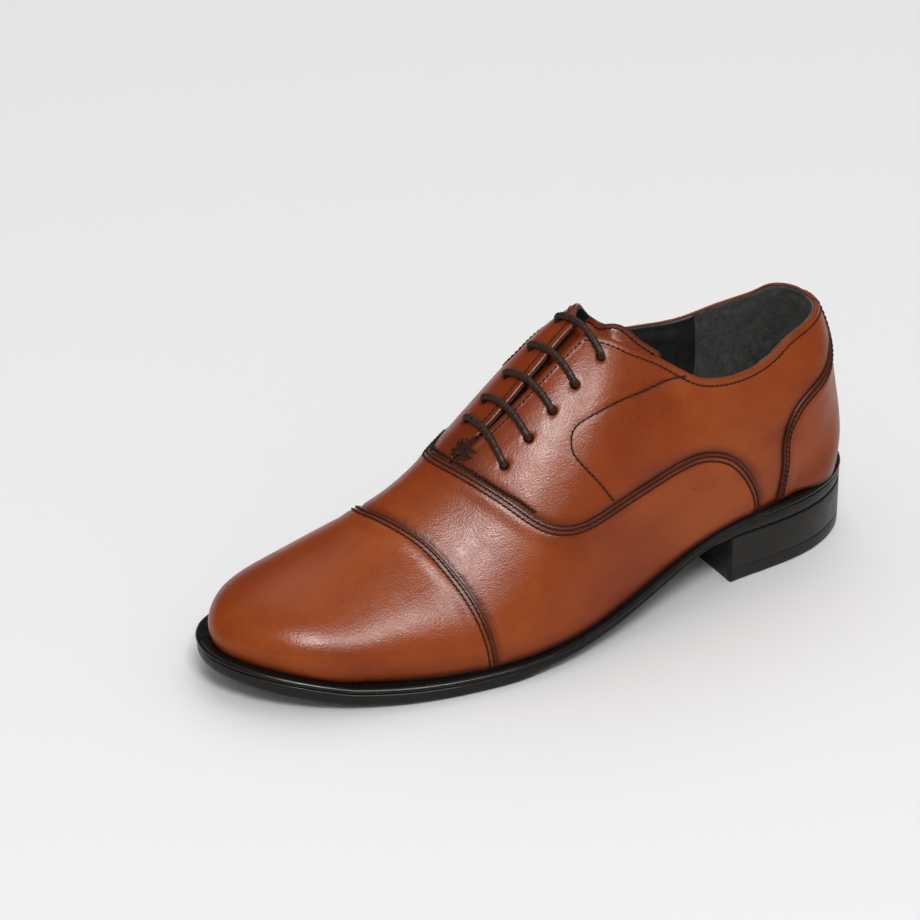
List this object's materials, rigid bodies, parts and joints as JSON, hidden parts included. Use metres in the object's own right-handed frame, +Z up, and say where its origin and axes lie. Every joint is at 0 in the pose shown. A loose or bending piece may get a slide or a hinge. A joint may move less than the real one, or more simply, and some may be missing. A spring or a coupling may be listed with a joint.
{
  "type": "leather oxford shoe",
  "caption": "Left leather oxford shoe with a straight toe cap, closed lacing in straight bars, a low block heel and a dark lining.",
  "frame": {"origin": "centre of the bounding box, on the floor under the sole", "axes": "+Z up, toe towards -Y, outer side of the foot towards +X"},
  "size_m": [0.1107, 0.3043, 0.1246],
  "materials": {
    "cognac_leather": "smooth calf, burnished",
    "black_lining_leather": "smooth matt",
    "dark_suede": "suede nap",
    "black_rubber": "semi-gloss",
    "fibre_board": "matt",
    "cork": "matt",
    "latex_foam": "matt",
    "steel": "satin",
    "stay_tape": "matt woven",
    "waxed_cotton": "waxed round braid",
    "clear_plastic": "matt sleeve"
  },
  "bodies": {
    "shoe": {"aglet_1": "clear_plastic", "aglet_2": "clear_plastic", "cork_filler": "cork", "eyelet_lateral_1": "steel", "eyelet_lateral_2": "steel", "eyelet_lateral_3": "steel", "eyelet_lateral_4": "steel", "eyelet_lateral_5": "steel", "eyelet_medial_1": "steel", "eyelet_medial_2": "steel", "eyelet_medial_3": "steel", "eyelet_medial_4": "steel", "eyelet_medial_5": "steel", "facing_stay_lateral": "stay_tape", "facing_stay_medial": "stay_tape", "heel_block": "black_rubber", "heel_counter_cover": "cognac_leather", "heel_grip_lining": "dark_suede", "heel_nail_1": "steel", "heel_nail_2": "steel", "heel_nail_3": "steel", "heel_nail_4": "steel", "heel_nail_5": "steel", "heel_pad": "latex_foam", "heel_stiffener": "fibre_board", "heel_top_piece": "black_rubber", "insole_board": "fibre_board", "outsole": "black_rubber", "quarter_lateral": "cognac_leather", "quarter_lining_lateral": "black_lining_leather", "quarter_lining_medial": "black_lining_leather", "quarter_medial": "cognac_leather", "shank": "steel", "shoelace": "waxed_cotton", "sock_liner": "black_lining_leather", "toe_cap": "cognac_leather", "toe_puff": "fibre_board", "vamp": "cognac_leather", "vamp_lining": "black_lining_leather", "welt": "black_rubber"},
    "tongue": {"tongue": "cognac_leather", "tongue_lining": "black_lining_leather"}
  },
  "joints": [
    {"name": "tongue_hinge", "type": "hinge", "parent": "shoe", "child": "tongue", "pos_m": [-0.0007, -0.03113, 0.07706], "axis": [-1, 0, 0], "range_deg": [0, 10], "stiffness_Nm_per_rad": 0.05, "springref_deg": -2.86}
  ]
}
